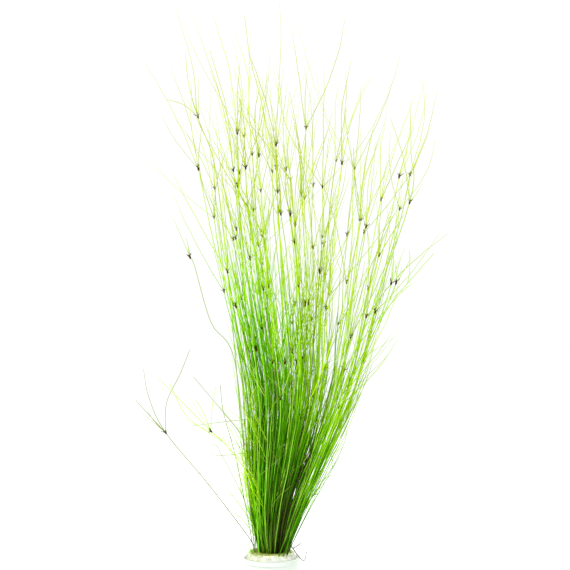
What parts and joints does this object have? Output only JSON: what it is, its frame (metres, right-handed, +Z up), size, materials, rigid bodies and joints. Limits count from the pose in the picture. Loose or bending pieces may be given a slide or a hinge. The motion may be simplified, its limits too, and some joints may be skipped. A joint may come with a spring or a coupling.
{
  "type": "umbrella hairgrass plant",
  "caption": "Tall sheaf of hair-thin green stems, topped by umbels of fine pale shoots, rooted in a mineral wool plug in a small white growing pot.",
  "frame": {"origin": "centre of the pot's flat underside", "axes": "+Z up the plant, -Y towards the viewer of the picture, +X to the viewer's right, the way the sheaf leans"},
  "size_m": [0.2771, 0.1862, 0.547],
  "materials": {
    "pot_plastic": "smooth moulded white plastic, slightly glossy on the lip",
    "mineral_wool": "loose white mineral wool, mottled yellow-green with growth",
    "green_stem": "smooth living stem, dark green at the foot and pale yellow-green at the top, with dark brown buds",
    "stray_stem": "smooth living stem, greyish at the foot and pale green in the shoots, with dark brown buds",
    "young_stem": "smooth pale green sprout",
    "dead_stem": "dull dark brown withered stem"
  },
  "bodies": {
    "root": {"pot": "pot_plastic", "wool_plug": "mineral_wool", "stray_left_low": "stray_stem", "stray_left_front": "stray_stem", "stray_left_back": "stray_stem", "stray_left_forked": "stray_stem", "stray_left_folded": "stray_stem", "tall_left_stem": "stray_stem", "tall_left_umbel": "stray_stem", "left_edge_umbel": "stray_stem", "tallest_stem": "stray_stem", "tall_right_stem": "stray_stem", "leaning_right_stem": "stray_stem", "stray_right_low": "stray_stem", "stray_over_rim": "stray_stem", "young_sprouts": "young_stem", "tuft_01": "green_stem", "tuft_02": "green_stem", "tuft_03": "green_stem", "tuft_04": "green_stem", "tuft_05": "green_stem", "tuft_06": "green_stem", "tuft_07": "green_stem", "tuft_08": "green_stem", "tuft_09": "green_stem", "tuft_10": "green_stem", "tuft_11": "green_stem", "tuft_12": "green_stem", "tuft_13": "green_stem", "tuft_14": "green_stem", "tuft_15": "green_stem", "tuft_16": "green_stem", "tuft_17": "green_stem", "tuft_18": "green_stem", "tuft_19": "green_stem", "tuft_20": "green_stem", "tuft_21": "green_stem", "tuft_22": "green_stem", "tuft_23": "green_stem", "tuft_24": "green_stem", "tuft_25": "green_stem", "tuft_26": "green_stem", "tuft_27": "green_stem", "tuft_28": "green_stem", "tuft_29": "green_stem", "tuft_30": "green_stem", "tuft_31": "green_stem", "dead_tuft": "dead_stem", "tuft_33": "green_stem", "tuft_34": "green_stem"}
  },
  "joints": []
}
